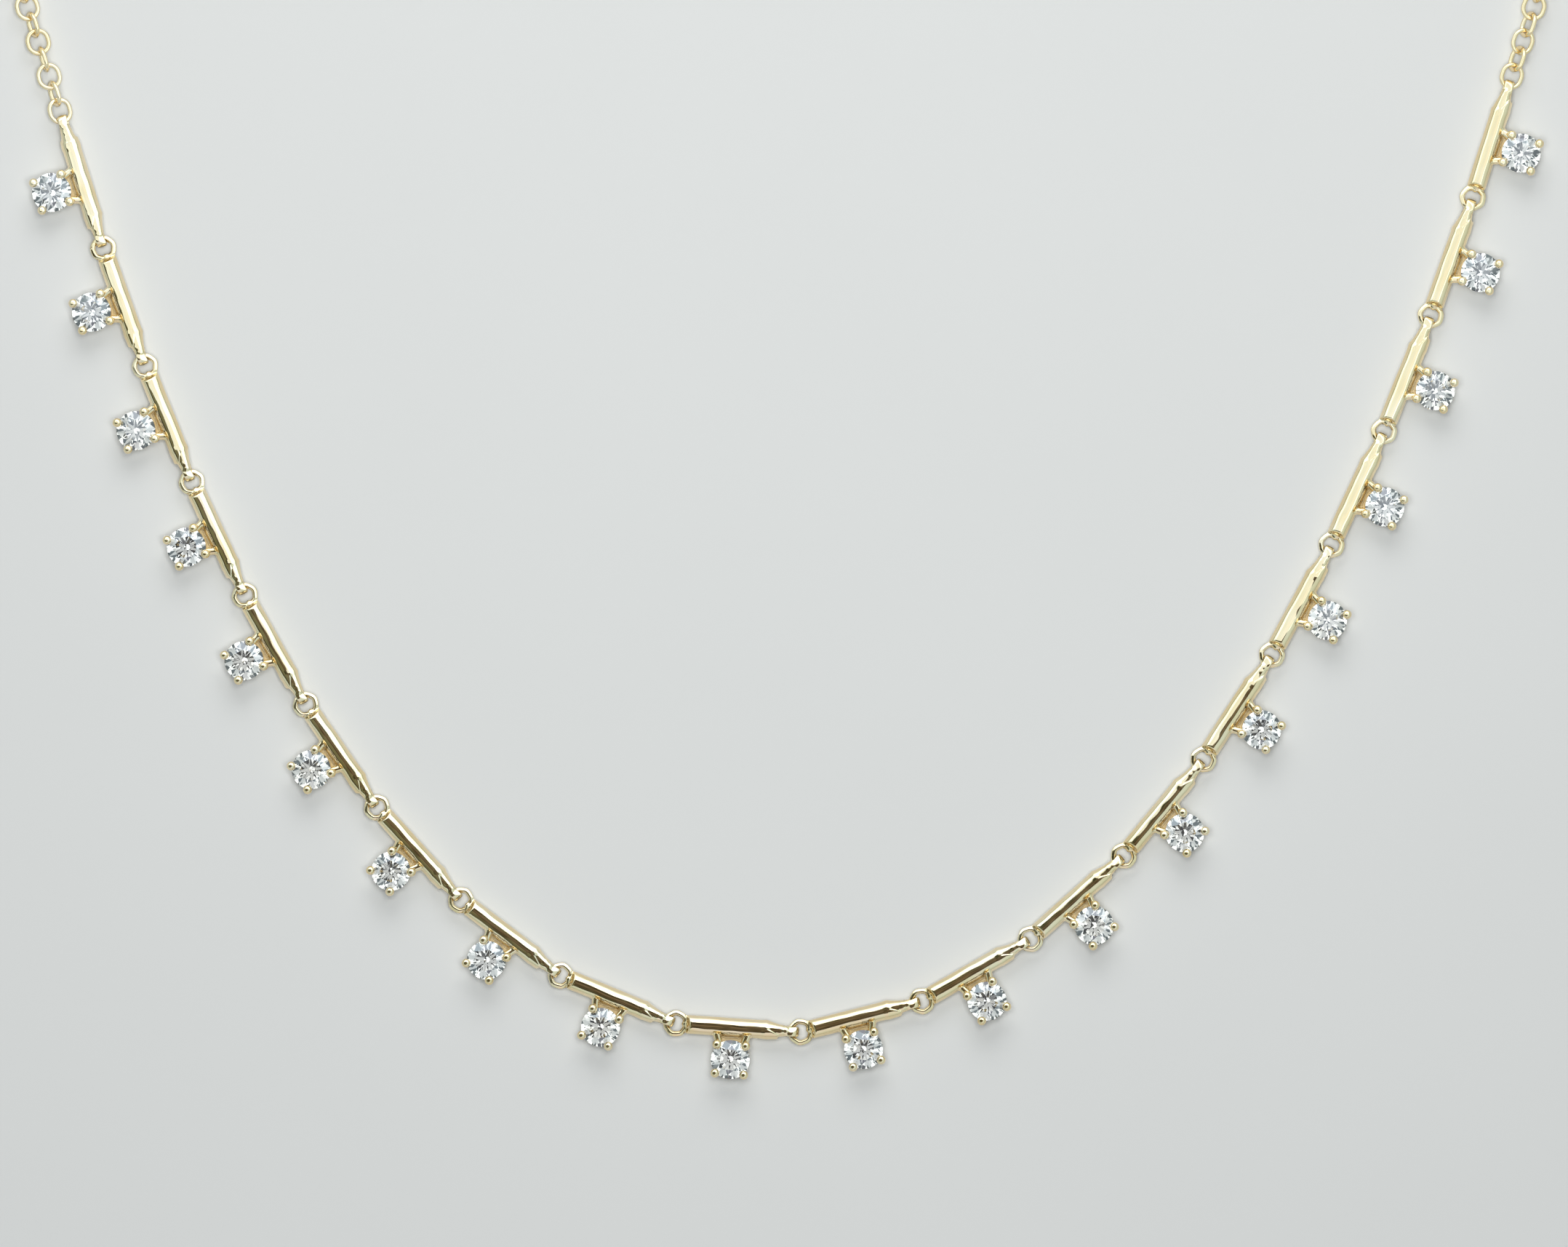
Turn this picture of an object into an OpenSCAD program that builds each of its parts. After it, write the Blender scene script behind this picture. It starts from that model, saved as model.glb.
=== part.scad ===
// Station necklace: twenty bar links, each with one round stone in a four-prong head,
// hooked ring to ring across the front of a fine cable chain that closes with a ring clasp.
// The loop lies flat with its stones up: +Z up, +Y towards the clasp, +X to the wearer's left.
// Millimetres. The origin is under the middle of the loop's outline.

/* [Loop] */
// Length once round the closed loop
loop_length = 406; // [390:1:430]
// Which station hangs lowest, counted from the left end
lowest_station = 10.2; // [9:0.1:12]
// Radius at the bottom of the curve, on the left side
bottom_radius_left = 20.5; // [19:0.5:24]
// Radius at the bottom of the curve, on the right side
bottom_radius_right = 22.2; // [19:0.5:24]

/* [Stations] */
// Number of bar stations
station_count = 20; // [16:1:20]
// Distance from one station's ring to the next
station_pitch = 7.06; // [7:0.02:7.4]
// Length of a bar
bar_length = 5.2; // [4.8:0.1:5.4]
// Width of a bar
bar_width = 1.06; // [0.9:0.02:1.2]
// Outer diameter of the ring on a bar's left end
ring_outer = 1.4; // [1.36:0.02:1.5]
// Wire of that ring
ring_wire = 0.28; // [0.24:0.02:0.3]

/* [Stones] */
// Diameter of a stone
stone_diameter = 2.2; // [2:0.1:2.4]
// Distance from the bar's middle line to the stone's centre
head_offset = 1.8; // [1.78:0.02:2]
// Wire of a prong
prong_wire = 0.3; // [0.26:0.02:0.34]

/* [Chain] */
// Length of a chain link over its ends
link_length = 1.56; // [1.5:0.02:1.6]
// Width of a chain link
link_width = 1.42; // [1.36:0.02:1.5]
// Wire of a chain link
link_wire = 0.22; // [0.2:0.01:0.24]
// Links made one by one next to the stations, on each side
front_links = 60; // [10:2:80]
// Outer diameter of the clasp's ring
clasp_outer = 5; // [4.5:0.1:6]

/* [Hidden] */
gold = [0.86, 0.76, 0.50];
clear_stone = [0.93, 0.95, 0.97];

// Heights above the surface that the necklace lies on
axis_z = 0.75;
clasp_z = 0.85;

// Running gap between two wires that pass through each other
gap = 0.1;
hook_gap = 0.12;

// The station, along its own X from the centre of its ring
ring_r = (ring_outer - ring_wire) / 2;
bar_start = ring_outer / 2 - 0.1;
bar_end = bar_start + bar_length;
bar_drop = 0.25;
hook_wall = 0.22;
hook_width = 0.36;
hook_inner_r = 0.27;
hook_r = hook_inner_r + hook_wall / 2;
hook_x = station_pitch - ring_r + ring_wire / 2 + hook_gap - hook_inner_r;
end_loop_x = bar_start - 0.95;
tongue_width = 0.44;
tongue_sunk = 0.3;

// The four-prong head, about its own centre
head_x = bar_start + bar_length / 2;
stone_r = stone_diameter / 2;
girdle_z = 1.35;
girdle_height = 0.05;
crown_angle = 34;
pavilion_angle = 40.5;
table_r = 0.56 * stone_r;
star_r = 0.77 * stone_r;
lower_half_r = 0.24 * stone_r;
table_z = girdle_z + girdle_height + (stone_r - table_r) * tan(crown_angle);
culet_z = girdle_z - stone_r * tan(pavilion_angle);
seat_gap = 0.03;
prong_foot_r = 0.62;
prong_tip_r = stone_r + 0.05;
prong_foot_z = 0.12;
prong_tip_z = girdle_z + 0.24;
bead_r = 0.19;
base_height = 0.22;
base_wall = 0.3;
rail_r = 0.93;
rail_z = 0.92;
rail_wire = 0.2;
post_bar_x = 0.88;
post_bar_y = head_offset - bar_width / 2 + 0.12;
post_z = 0.85;
post_wire = 0.3;
plate_half = 0.62;
plate_low_z = 0.42;
plate_height = 0.2;

// The chain: two wires that pass through each other lie seat() apart, middle to middle
function seat(wire) = (wire + link_wire) / 2 + gap;
link_pitch = link_length - link_wire - seat(link_wire);
face_roll = 10;
edge_roll = -72;
tube_gap = 0.15;
tube_sides = 8;
tube_step = 3.4;

// The clasp, a plain closed ring with a small eye, and the end ring through it
clasp_wire = 0.6;
clasp_r = (clasp_outer - clasp_wire) / 2;
eye_r = 0.5;
eye_wire = 0.26;
eye_sunk = 0.1;
end_ring_r = 0.9;
end_ring_wire = 0.36;
end_ring_roll = 45;
eye_x = eye_r - (seat(eye_wire) - seat(link_wire) / 2);
clasp_x = eye_x + eye_r - eye_sunk + clasp_wire / 2 + clasp_r;
end_ring_x = clasp_x + clasp_r - (clasp_wire + end_ring_wire) / 2 - gap + end_ring_r;
clasp_span = end_ring_x + end_ring_r - (seat(end_ring_wire) - seat(link_wire) / 2);

// Directions are angles in degrees from +X
function along(angle) = [cos(angle), sin(angle)];
function radians(angle) = angle * PI / 180;

// Equal weights on a light chain hang so that a bar's slope grows evenly with its place
function heading(i) =
    let (radius = i < lowest_station ? bottom_radius_left : bottom_radius_right)
    atan((i - lowest_station) * station_pitch / radius);

raw_joints = [
    for (i = 1, p = [0, 0]; i <= station_count + 1;
         p = p + station_pitch * along(heading(i)), i = i + 1) p
];

// Each side's chain leaves the last station straight and then follows one arc up to the clasp.
// Both sides have the same number of links, an even one.
chain_nominal = (loop_length - station_count * station_pitch - clasp_span) / 2;
link_count = 2 * round(chain_nominal / link_pitch / 2);
chain_length = link_count * link_pitch;

LEFT = 0;
RIGHT = 1;
left_reach = hook_r - end_loop_x - seat(link_wire) / 2;
right_reach = hook_x + hook_r - seat(link_wire) / 2;
starts = [
    raw_joints[0] - left_reach * along(heading(1)),
    raw_joints[station_count - 1] + right_reach * along(heading(station_count))
];
start_angles = [180 + heading(1), heading(station_count)];
turns = [180 + heading(1), 180 - heading(station_count)];
spins = [-1, 1];

// How far one millimetre of arc radius carries the chain's end across and up
function across(turn) = sin(turn) - radians(turn) * cos(turn);
function up(turn) = 1 - cos(turn) - radians(turn) * sin(turn);

// The two arcs' radii, from the two ends meeting at one height a clasp apart
across_left = across(turns[LEFT]);
across_right = across(turns[RIGHT]);
up_left = up(turns[LEFT]);
up_right = up(turns[RIGHT]);
gap_across = starts[RIGHT].x - starts[LEFT].x
    - chain_length * (cos(turns[LEFT]) + cos(turns[RIGHT])) - clasp_span;
gap_up = starts[RIGHT].y - starts[LEFT].y
    + chain_length * (sin(turns[RIGHT]) - sin(turns[LEFT]));
both = across_left * up_right + across_right * up_left;
arc_radii = [
    (gap_across * up_right + across_right * gap_up) / both,
    (gap_across * up_left - across_left * gap_up) / both
];
straights = [for (side = [LEFT, RIGHT]) chain_length - arc_radii[side] * radians(turns[side])];

// Direction and place on a side's chain, a distance d from where it leaves the stations
function run_angle(side, d) =
    start_angles[side]
    + spins[side] * max(0, d - straights[side]) / arc_radii[side] * 180 / PI;
function arc_centre(side) =
    starts[side] + straights[side] * along(start_angles[side])
    + arc_radii[side] * along(start_angles[side] + spins[side] * 90);
function run_point(side, d) =
    d < straights[side]
        ? starts[side] + d * along(start_angles[side])
        : arc_centre(side) + arc_radii[side] * along(run_angle(side, d) - spins[side] * 90);

// The outline's box, which sets the origin
function head_point(i, x, y) =
    raw_joints[i - 1] + x * along(heading(i)) + y * along(heading(i) + 90);
low_y = min([for (i = [1 : station_count]) head_point(i, head_x, -head_offset).y]) - stone_r;
high_y = run_point(LEFT, chain_length).y + clasp_outer / 2;
low_x = arc_centre(LEFT).x - arc_radii[LEFT] - link_width / 2;
high_x = arc_centre(RIGHT).x + arc_radii[RIGHT] + link_width / 2;
middle = [(low_x + high_x) / 2, (low_y + high_y) / 2];

function two_digits(i) = str(i < 10 ? "0" : "", i);
function station_name(i) = str("station_", two_digits(i));
function stone_name(i) = str("stone_", two_digits(i));
STATIONS = [for (i = [1 : station_count]) station_name(i)];
STONES = [for (i = [1 : station_count]) stone_name(i)];
CHAINS = ["chain_left_front", "chain_left_back", "chain_right_front", "chain_right_back"];

// Puts a shape at a point of the plan, turned to an angle
module at(point, angle) {
    translate([point.x - middle.x, point.y - middle.y, 0]) rotate([0, 0, angle]) children();
}

// A round ring lying flat
module ring(radius, wire) {
    rotate_extrude($fn = 48) translate([radius, 0]) circle(d = wire, $fn = 24);
}

// A straight round wire between two points
module rod(from, to, wire) {
    v = to - from;
    translate(from)
        rotate([0, acos(v.z / norm(v)), atan2(v.y, v.x)])
            cylinder(d = wire, h = norm(v), $fn = 32);
}

// A round bar along X, cut flat underneath
module half_round(start, end, width) {
    difference() {
        translate([start, 0, axis_z]) rotate([0, 90, 0])
            cylinder(d = width, h = end - start, $fn = 48);
        translate([start - 1, -width, axis_z - bar_drop - 1])
            cube([end - start + 2, 2 * width, 1]);
    }
}

// A flat strap bent round into a closed loop that stands upright across the bar's line
module upright_loop(x) {
    translate([x, 0, axis_z]) rotate([90, 0, 0])
        rotate_extrude($fn = 48)
            translate([hook_r, 0]) square([hook_wall, hook_width], center = true);
}

// The narrow tongue that a bar's end is drawn out to, up to the near side of a loop at x
module tongue(x, from) {
    near = x > from ? x - hook_r : x + hook_r;
    half_round(min(near, from), max(near, from), tongue_width);
}

// One prong, leaning out from the base ring to the stone's edge, with a round bead on its tip
module prong() {
    rod([prong_foot_r, 0, prong_foot_z], [prong_tip_r, 0, prong_tip_z], prong_wire);
    translate([prong_tip_r, 0, prong_tip_z]) sphere(r = bead_r, $fn = 32);
}

// The room that a stone takes out of its head: its own profile with a small gap round it
module seat_cut() {
    wide = stone_r + seat_gap;
    rotate_extrude($fn = 64)
        polygon([
            [0, culet_z - seat_gap],
            [wide, girdle_z - seat_gap / 2],
            [wide, girdle_z + girdle_height + seat_gap / 2],
            [table_r, table_z + seat_gap],
            [0, table_z + seat_gap]
        ]);
}

module head() {
    translate([0, 0, base_height / 2])
        rotate_extrude($fn = 48)
            translate([prong_foot_r, 0]) square([base_wall, base_height], center = true);
    difference() {
        union() {
            translate([0, 0, rail_z]) ring(rail_r, rail_wire);
            for (a = [45 : 90 : 315]) rotate([0, 0, a]) prong();
        }
        seat_cut();
    }
}

// Two posts and a low plate that carry the head on the bar's outer side
module head_mount() {
    inner = prong_foot_r + (prong_tip_r - prong_foot_r)
        * (post_z - prong_foot_z) / (prong_tip_z - prong_foot_z);
    for (s = [-1, 1])
        rod(
            [s * post_bar_x, post_bar_y, post_z],
            [s * inner * cos(45), inner * sin(45), post_z],
            post_wire
        );
    translate([-plate_half, inner * sin(45) - 0.2, plate_low_z])
        cube([2 * plate_half, post_bar_y - inner * sin(45) + 0.2, plate_height]);
}

module station(i) {
    color(gold) at(raw_joints[i - 1], heading(i)) {
        half_round(bar_start, bar_end, bar_width);
        tongue(hook_x, bar_end - tongue_sunk);
        upright_loop(hook_x);
        if (i == 1) {
            tongue(end_loop_x, bar_start + tongue_sunk);
            upright_loop(end_loop_x);
        } else {
            translate([0, 0, axis_z]) ring(ring_r, ring_wire);
        }
        translate([head_x, -head_offset, 0]) {
            head();
            head_mount();
        }
    }
}

// A round brilliant: an eight-sided table, 8 star, 8 kite and 16 upper facets on the crown,
// a thin girdle, and 16 lower and 8 kite facets that meet in the culet
function round_row(count, first, radius, z) =
    [for (k = [0 : count - 1]) let (a = first + k * 360 / count)
        [radius * cos(a), radius * sin(a), z]];

module brilliant() {
    half = 22.5;
    star_z = table_z - (star_r * cos(half) - table_r) * tan(crown_angle);
    lower_z = girdle_z - (stone_r - lower_half_r * cos(half)) * tan(pavilion_angle);
    points = concat(
        round_row(8, 0, table_r, table_z),
        round_row(8, half, star_r, star_z),
        round_row(16, 0, stone_r, girdle_z + girdle_height),
        round_row(16, 0, stone_r, girdle_z),
        round_row(8, half, lower_half_r, lower_z),
        [[0, 0, culet_z]]
    );
    star = 8;
    top = 16;
    bottom = 32;
    lower = 48;
    culet = 56;
    faces = concat(
        [[for (k = [7 : -1 : 0]) k]],
        [for (k = [0 : 7]) [k, (k + 1) % 8, star + k]],
        [for (k = [0 : 7]) [k, star + k, top + 2 * k, star + (k + 7) % 8]],
        [for (k = [0 : 7]) [star + k, top + 2 * k + 1, top + 2 * k]],
        [for (k = [0 : 7]) [star + k, top + (2 * k + 2) % 16, top + 2 * k + 1]],
        [for (k = [0 : 15]) [top + k, top + (k + 1) % 16, bottom + (k + 1) % 16, bottom + k]],
        [for (k = [0 : 7]) [lower + k, bottom + 2 * k, bottom + 2 * k + 1]],
        [for (k = [0 : 7]) [lower + k, bottom + 2 * k + 1, bottom + (2 * k + 2) % 16]],
        [for (k = [0 : 7]) [culet, lower + (k + 7) % 8, bottom + 2 * k, lower + k]]
    );
    polyhedron(points, faces, convexity = 2);
}

module stone(i) {
    color(clear_stone)
        at(raw_joints[i - 1], heading(i))
            translate([head_x, -head_offset, 0]) brilliant();
}

// One oval link, along X: two half rings and the two short straights between them
module oval_link() {
    bend_r = (link_width - link_wire) / 2;
    straight = link_length - link_width;
    for (s = [0, 180]) rotate([0, 0, s]) {
        translate([straight / 2, 0, 0]) rotate([0, 0, -90])
            rotate_extrude(angle = 180, $fn = 48)
                translate([bend_r, 0]) circle(d = link_wire, $fn = 24);
        translate([-straight / 2, bend_r, 0]) rotate([0, 90, 0])
            cylinder(d = link_wire, h = straight, $fn = 24);
    }
}

// The links next to the stations, turned by turns face on and edge on
module links(side) {
    color(gold) for (k = [0 : front_links - 1]) {
        d = (k + 0.5) * link_pitch;
        at(run_point(side, d), run_angle(side, d))
            translate([0, 0, axis_z])
                rotate([k % 2 == 0 ? face_roll : edge_roll, 0, 0]) oval_link();
    }
}

// The rest of a side's chain as one tube of the chain's outer size
module tube(side) {
    first = front_links * link_pitch + seat(link_wire) / 2 + link_wire / 2 + tube_gap;
    end_wire = side == LEFT ? eye_wire : end_ring_wire;
    last = chain_length + seat(link_wire) / 2 - seat(end_wire) - end_wire / 2 - tube_gap;
    rings = ceil((last - first) / tube_step);
    points = [
        for (k = [0 : rings])
            let (
                d = first + (last - first) * k / rings,
                p = run_point(side, d) - middle,
                sideways = along(run_angle(side, d) + 90)
            )
            for (j = [0 : tube_sides - 1])
                let (a = (j + 0.5) * 360 / tube_sides, r = link_width / 2)
                [
                    p.x + r * cos(a) * sideways.x,
                    p.y + r * cos(a) * sideways.y,
                    axis_z + r * sin(a)
                ]
    ];
    faces = concat(
        [[for (j = [0 : tube_sides - 1]) j]],
        [for (k = [0 : rings - 1]) for (j = [0 : tube_sides - 1])
            let (a = k * tube_sides + j, b = k * tube_sides + (j + 1) % tube_sides)
            [b, a, a + tube_sides, b + tube_sides]],
        [[for (j = [tube_sides - 1 : -1 : 0]) rings * tube_sides + j]]
    );
    color(gold) polyhedron(points, faces, convexity = 4);
}

// Places a shape by its distance along the clasp, from the left chain's end
module at_clasp(x) {
    at(run_point(LEFT, chain_length) + [x, 0], 0) translate([0, 0, clasp_z]) children();
}

module clasp() {
    color(gold) {
        at_clasp(clasp_x) ring(clasp_r, clasp_wire);
        at_clasp(eye_x) ring(eye_r, eye_wire);
    }
}

module end_ring() {
    color(gold) at_clasp(end_ring_x) rotate([end_ring_roll, 0, 0]) ring(end_ring_r, end_ring_wire);
}

for (i = [1 : station_count]) {
    station(i);
    stone(i);
}
links(LEFT);  // chain_left_front
tube(LEFT);  // chain_left_back
links(RIGHT);  // chain_right_front
tube(RIGHT);  // chain_right_back
clasp();
end_ring();
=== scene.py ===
"""Station necklace: the finish of its gold, its cut stones and its cable chain."""

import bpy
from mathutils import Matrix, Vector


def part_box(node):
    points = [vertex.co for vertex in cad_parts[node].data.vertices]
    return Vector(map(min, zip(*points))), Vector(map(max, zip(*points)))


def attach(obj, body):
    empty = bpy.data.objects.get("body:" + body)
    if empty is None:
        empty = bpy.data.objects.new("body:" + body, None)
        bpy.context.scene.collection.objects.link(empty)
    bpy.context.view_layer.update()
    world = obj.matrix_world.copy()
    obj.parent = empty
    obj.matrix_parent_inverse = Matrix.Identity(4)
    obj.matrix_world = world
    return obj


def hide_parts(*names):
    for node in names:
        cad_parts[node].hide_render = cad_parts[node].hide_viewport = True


bl_info = {
    "name": "Station Necklace",
    "version": (1, 0, 0),
    "blender": (4, 5, 0),
    "location": "View3D > Sidebar > Necklace",
    "description": "Twenty bar stations with round stones on a fine cable chain",
    "category": "Add Mesh",
}

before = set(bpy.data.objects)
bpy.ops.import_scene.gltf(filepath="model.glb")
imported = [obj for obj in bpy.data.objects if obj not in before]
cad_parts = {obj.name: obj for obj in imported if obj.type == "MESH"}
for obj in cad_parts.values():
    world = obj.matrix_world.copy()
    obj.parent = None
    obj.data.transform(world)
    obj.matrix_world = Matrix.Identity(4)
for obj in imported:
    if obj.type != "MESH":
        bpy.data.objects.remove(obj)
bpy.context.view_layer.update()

import math
import random
from functools import partial

import bmesh
import bpy
import numpy as np
from bpy.props import FloatProperty, FloatVectorProperty, IntProperty, PointerProperty
from mathutils import Matrix, Vector

MM = 0.001
BODY = "root"

# The plan of the necklace, as the frame has it
STATION_COUNT = 20
LOWEST_STATION = 10.2
STATION_PITCH = 7.06 * MM
BOTTOM_RADIUS = (20.5 * MM, 22.2 * MM)
HEAD_X = 3.2 * MM
HEAD_OFFSET = 1.8 * MM
AXIS_Z = 0.75 * MM
CLASP_Z = 0.85 * MM

# Where the chain meets the stations, the clasp and its own links
LINK_PITCH = 1.02 * MM
LINK_COUNT = 126
LINK_SEAT = 0.32 * MM
HOOK_X = 6.49 * MM
HOOK_R = 0.38 * MM
END_LOOP_X = -0.35 * MM
EYE_R = 0.5 * MM
EYE_X = 0.34 * MM
EYE_FILLET = 0.2 * MM
CLASP_R = 2.2 * MM
CLASP_X = 3.24 * MM
END_RING_R = 0.9 * MM
END_RING_X = 5.76 * MM
END_RING_ROLL = math.radians(45)
CLASP_SPAN = 6.43 * MM
LEFT, RIGHT = 0, 1

# What the chain's tree takes from the settings, how fine it is, and how its links' rolls drift and jump
LINK_SETTINGS = ("Link length", "Link width", "Wire", "Face roll", "Edge roll", "Wander")
LINE_STEPS = 400
LINK_CORNERS = 28
WIRE_CORNERS = 10
DRIFT_STEP = 0.23
SEED_STEP = 7.3
DRIFT_SHARE = 4.0
JUMP_SHARE = 0.5

# The station's fixed shape, along its own X from the centre of its ring
FILLET = 0.08 * MM
SMALL_FILLET = 0.06 * MM
BAR_START = 0.6 * MM
BAR_DROP = 0.25 * MM
BAR_EDGE = 0.06 * MM
NEAR_SLOPE = 0.55
NEAR_STEP = 0.15 * MM
NEAR_EDGE = 0.09 * MM
FOOT_SLOPE = 2.2
FOOT_WIDTH = 0.25 * MM
NOSE_LENGTH = 0.62 * MM
NOSE_FALL = 1.5
NOSE_EDGE = 0.12 * MM
HOOK_WALL = 0.21 * MM
HOOK_WIDTH = 0.56 * MM
HOOK_BEVEL = 0.5
HOOK_BEVEL_Z = 1.2 * MM
TAPER_LENGTH = 1.05 * MM
TONGUE_SINK = 0.09 * MM
TONGUE_START_Z = 0.92 * MM
TONGUE_END_Z = 0.97 * MM
TONGUE_EDGE = 0.04 * MM
STRAP_DOME = 3
NECK_X = (0.5 * MM, 0.8 * MM)
NECK_RADII = (0.18 * MM, 0.34 * MM)

# The ring of hammered wire: its corners, and its section in shares of the wire
RING_CANT = math.radians(30)
RING_CORNERS = 7
RING_CORNER_RISE = 0.02
RING_OVAL = 1.05
RING_HALF = 0.47
RING_ROUNDING = 0.3

# The head, about its own centre
GIRDLE_Z = 1.35 * MM
GIRDLE_HEIGHT = 0.05 * MM
SEAT_GAP = 0.03 * MM
SEAT_EDGE = 0.015 * MM
PRONG_FOOT_R = 0.62 * MM
PRONG_FOOT_Z = 0.12 * MM
PRONG_TIP_R = 1.15 * MM
PRONG_TIP_Z = 1.52 * MM
BEAD_FILLET = 0.04 * MM
BASE_WALL = 0.3 * MM
BASE_HEIGHT = 0.22 * MM
BASE_FILLET = 0.05 * MM
BASE_EDGE = 0.01 * MM
RAIL_R = 0.93 * MM
RAIL_Z = 0.92 * MM
RAIL_WIRE = 0.2 * MM
POST_X = 0.88 * MM
POST_Y = 1.39 * MM
POST_Z = 0.92 * MM
POST_FOOT = 0.61 * MM
POST_WIRE = 0.42 * MM
PLATE_LOW = (-0.62 * MM, 0.41 * MM, 0.42 * MM)
PLATE_HIGH = (0.62 * MM, 1.39 * MM, 0.96 * MM)
PLATE_FALL = 0.42
PLATE_EDGE = 0.04 * MM
PLATE_FILLET = 0.05 * MM

# The stones: sides of the girdle, and where star and lower facets end in shares of the radius
GIRDLE_SIDES = 96
STAR_SHARE = 0.77
LOWER_SHARE = 0.24

# How the castings are meshed: the shares of triangles that are kept, how corners are drawn onto the
# surface, and how far off a recess is felt
STATION_KEEP = 0.62
CLASP_KEEP = 0.6
END_RING_KEEP = 0.8
SETTLE_ROUNDS = 3
DRAW_ROUNDS = 4
REDRAW_ROUNDS = 2
PROBES_PER_STEP = 10
FLATTEST_SLOPE = 0.05
LONGEST_MOVE = 8
RECESS_REACH = 0.25 * MM
RECESS_STEPS = (0.3, 0.6, 1)

# The gold's finish on each kind of piece: gloss, polishing lines, waves
STATION_POLISH = (0.08, 0.5, 14.0)
CHAIN_POLISH = (0.12, 0.7, 4.0)
CLASP_POLISH = (0.1, 0.8, 5.0)

# The polish, and the shade painted into recesses: noise scales per metre, the ranges it blends over, and
# how much each part of it does
TONE_SCALE = 420.0
TONE_RANGE = (0.35, 0.7)
FINE_SCALE = 2600.0
FINE_ROUGHNESS = 0.1
LINE_STRETCH = (2600, 2600, 9000)
LINE_WIDTH = 0.035
LINE_PATCHES = (0.4, 0.65)
LINE_ROUGHNESS = 0.1
LINE_DEPTH = 0.02
WAVE_SCALE = 550.0
WAVES_IN_RECESS = (0.3, 0.6, 1.0, 0.3)
# Painted shade: the gold's colour is darkened and warmed in recesses, where shade falls; there it is also
# rougher and less metallic
RECESS_SHADE = (0.3, 0.95, 0.0, 0.35)
PAINTED_RECESS_SHADE = (1.0, 0.96, 0.86, 1)
RECESS_METALLIC = (0.3, 0.8, 1.0, 0.45)
BUMP_STRENGTH = 0.35
BUMP_DISTANCE = 0.03 * MM

# The stones' and the floor's small differences
WARM_STONE = (1.0, 0.99, 0.97, 1.0)
WARM_SCALE = 160.0
WARM_RANGE = (0.35, 0.65)
FILM_SCALE = 1800.0
FILM_RANGE = (0.5, 0.75, 0.0, 0.02)
STONE_IOR = 2.42
FLOOR_MOTTLE = (0.6, 0.62, 0.61, 1.0)
FLOOR_SCALE = 60.0
FLOOR_RANGE = (0.3, 0.7, 0.0, 0.03)
FLOOR_HALF = 1.5

# The room that the metal mirrors, and the window beyond the clasp
ROOM_COLOURS = (0.55, 0.54, 0.53, 1), (0.84, 0.86, 0.95, 1)
ROOM_RANGE = (-0.1, 0.7)
WINDOW_COLOUR = (1.36, 1.38, 1.5, 1)
WINDOW_RANGE = (0.6, 0.92)
WINDOW_TILT = math.radians(55)

# To the left and right the room is a little greener
SIDE_RANGE = (0.05, 0.4)
SIDE_ROOM_TINT = (0.85, 1.0, 0.95, 1)
SIDE_PATCH_TINT = (0.75, 0.98, 0.84, 1)

# The dark oval patch overhead, in the plan of the directions
PATCH_TURN = math.radians(45)
PATCH_X = -0.24
PATCH_LONG = 0.7
PATCH_SHORT = 0.64
PATCH_EDGE = (0.8, 1.05, 1.0, 0.0)
PATCH_HEIGHT = (0.0, 0.15)
PATCH_SCALE = 3.0
PATCH_RANGE = (0.35, 0.65)
PATCH_COLOURS = (0.07, 0.056, 0.036, 1), (0.25, 0.205, 0.155, 1)
RIM_RANGE = (0.5, 0.8)
RIM_COLOUR = (0.03, 0.026, 0.018, 1)

# The brighter room that the stones look into, with its sharp lights and darks
SPARKLE_COLOURS = (0.06, 0.07, 0.08, 1), (1.6, 1.65, 1.58, 1)
SPARKLE_SCALE = 2.4
SPARKLE_RANGE = (0.455, 0.5)
SPARKLE_LEVEL = 0.75
SPARKLE_LOW = 0.18
OVERHEAD_RANGE = (0.86, 0.96, 1.0, 0.4)

# The lamps: place, width and depth, colour
KEY_LAMP = (0, 130 * MM, 170 * MM), (190 * MM, 150 * MM), (1, 0.99, 0.97)
FILL_LAMP = (0, -50 * MM, 400 * MM), (160 * MM, 160 * MM), (0.99, 1, 1)
SHEET_LAMP = (-6 * MM, 16 * MM, 36 * MM), (148 * MM, 130 * MM), (0.87, 1.0, 1.12)
SHEET_TARGET = (-6 * MM, 16 * MM, 0)
SHEET_TURN = math.radians(-9)

# The view: what the picture's width takes in, and the point under its middle
VIEW_WIDTH = 88.56 * MM
VIEW_CENTRE = (0.85 * MM, -52.1 * MM)
VIEW_HEIGHT = 600 * MM
VIEW_CLIP = 10 * MM
SENSOR_WIDTH = 36


def length_property(name, description, default):
    """A size in metres, shown to a hundredth of a millimetre."""
    return FloatProperty(
        name=name, description=description, default=default, min=0, precision=5,
        subtype="DISTANCE", unit="LENGTH",
    )


def angle_property(name, description, degrees):
    """An angle, given here in degrees."""
    return FloatProperty(name=name, description=description, default=math.radians(degrees), subtype="ANGLE")


def power_property(name, description, default):
    """The power of a lamp."""
    return FloatProperty(name=name, description=description, default=default, min=0, unit="POWER")


def colour_property(name, description, default):
    """The colour of a surface."""
    return FloatVectorProperty(
        name=name, description=description, default=default, min=0, max=1, size=3, subtype="COLOR"
    )


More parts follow.
